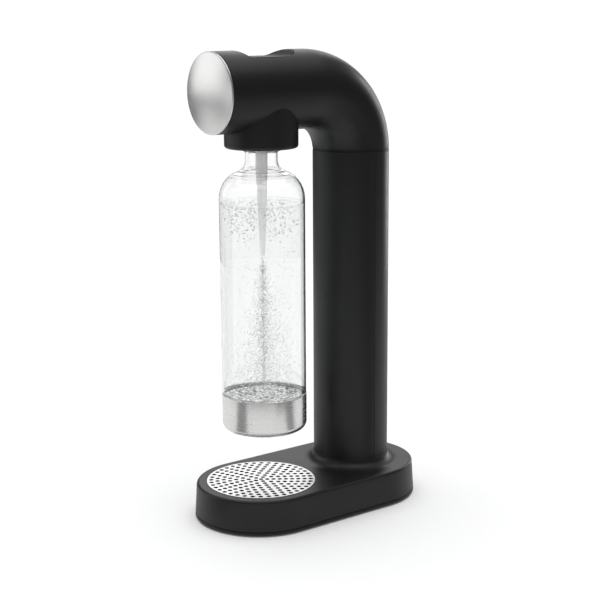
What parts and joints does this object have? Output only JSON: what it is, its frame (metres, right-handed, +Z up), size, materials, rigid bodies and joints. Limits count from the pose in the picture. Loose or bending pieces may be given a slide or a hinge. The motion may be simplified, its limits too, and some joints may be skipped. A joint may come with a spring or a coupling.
{
  "type": "soda carbonator",
  "caption": "Tubular countertop carbonator: oblong base with drip grille, round column bending into an arm, steel end disc, scoop button, clear bottle held under the arm.",
  "frame": {"origin": "centre of the base's footprint, on the surface that the machine stands on", "axes": "+Z up, -Y towards the front where the steel disc faces, +X to the machine's left side as seen from the machine, which is the right side of a front view"},
  "size_m": [0.1228, 0.2298, 0.425],
  "materials": {
    "black_plastic": "satin",
    "dark_plastic": "matte",
    "white_plastic": "matte",
    "grey_tube": "satin",
    "clear_plastic": "gloss",
    "brushed_steel": "brushed",
    "perforated_steel": "satin",
    "bright_steel": "bright",
    "cylinder_steel": "satin",
    "brass": "satin",
    "rubber": "matte"
  },
  "bodies": {
    "machine": {"base_housing": "black_plastic", "bottom_plate": "black_plastic", "rubber_feet": "rubber", "base_screws": "bright_steel", "column_frame": "dark_plastic", "frame_screws": "bright_steel", "column_front_shell": "black_plastic", "column_ring": "black_plastic", "cylinder_seat": "rubber", "valve_block": "brass", "valve_screws": "bright_steel", "cylinder_seal": "rubber", "head_frame": "dark_plastic", "head_shell_left": "black_plastic", "head_shell_right": "black_plastic", "head_screws": "bright_steel", "cap_carrier": "black_plastic", "front_cap": "brushed_steel", "bottle_collar": "black_plastic", "button_pin": "bright_steel", "lever_pin": "bright_steel", "lever_spring": "bright_steel", "gas_hose": "white_plastic", "hose_fittings": "brass", "nozzle_block": "white_plastic", "nozzle_screws": "bright_steel", "nozzle_tube": "grey_tube", "bottle_socket": "white_plastic", "bottle_seal": "rubber", "safety_valve_body": "brass", "safety_valve_spring": "bright_steel"},
    "bottle": {"bottle": "clear_plastic", "bottle_base_cup": "brushed_steel"},
    "push_button": {"push_button": "black_plastic"},
    "lever": {"lever": "dark_plastic"},
    "valve_plunger": {"valve_plunger": "bright_steel"},
    "gas_cylinder": {"co2_cylinder": "cylinder_steel", "co2_valve": "brass", "co2_valve_spring": "bright_steel"},
    "gas_valve_pin": {"co2_valve_pin": "bright_steel"},
    "drip_tray": {"drip_tray": "dark_plastic"},
    "drip_grille": {"drip_grille": "perforated_steel"},
    "rear_cover": {"column_rear_cover": "black_plastic"},
    "safety_poppet": {"safety_valve_poppet": "bright_steel"}
  },
  "joints": [
    {"name": "button_press", "type": "hinge", "parent": "machine", "child": "push_button", "pos_m": [0, -0.022, 0.4155], "axis": [1, 0, 0], "range_deg": [0, 8.6], "stiffness_Nm_per_rad": 0.6, "springref_deg": -17.19},
    {"name": "lever_turn", "type": "hinge", "parent": "machine", "child": "lever", "pos_m": [0, 0.075, 0.36], "axis": [1, 0, 0], "range_deg": [0, 2.8], "deforming": ["lever_spring"]},
    {"name": "plunger_push", "type": "slide", "parent": "machine", "child": "valve_plunger", "axis": [0, 0, -1], "range_m": [0, 0.0011]},
    {"name": "valve_pin_push", "type": "slide", "parent": "gas_cylinder", "child": "gas_valve_pin", "axis": [0, 0, -1], "range_m": [0, 0.0011], "deforming": ["co2_valve_spring"]},
    {"name": "cylinder_unscrew", "type": "hinge", "parent": "machine", "child": "gas_cylinder", "pos_m": [0, 0.0535, 0.2], "axis": [0, 0, 1], "range_deg": [-900, 0]},
    {"name": "bottle_lower", "type": "slide", "parent": "machine", "child": "bottle", "axis": [0, 0, -1], "range_m": [0, 0.021]},
    {"name": "tray_lift", "type": "slide", "parent": "machine", "child": "drip_tray", "axis": [0, 0, 1], "range_m": [0, 0.0225]},
    {"name": "grille_lift", "type": "slide", "parent": "drip_tray", "child": "drip_grille", "axis": [0, 0, 1], "range_m": [0, 0.0055]},
    {"name": "cover_pull", "type": "slide", "parent": "machine", "child": "rear_cover", "axis": [0, 1, 0], "range_m": [0, 0.12]},
    {"name": "safety_valve_lift", "type": "slide", "parent": "machine", "child": "safety_poppet", "axis": [0, 0, 1], "range_m": [0, 0.0015], "stiffness_N_per_m": 2000, "springref_m": -0.004, "deforming": ["safety_valve_spring"]}
  ],
  "couplings": [
    {"joint": "lever_turn", "follows": "button_press", "ratio": 0.325},
    {"joint": "plunger_push", "follows": "button_press", "m_per_rad": 0.0071},
    {"joint": "valve_pin_push", "follows": "button_press", "m_per_rad": 0.0071}
  ]
}
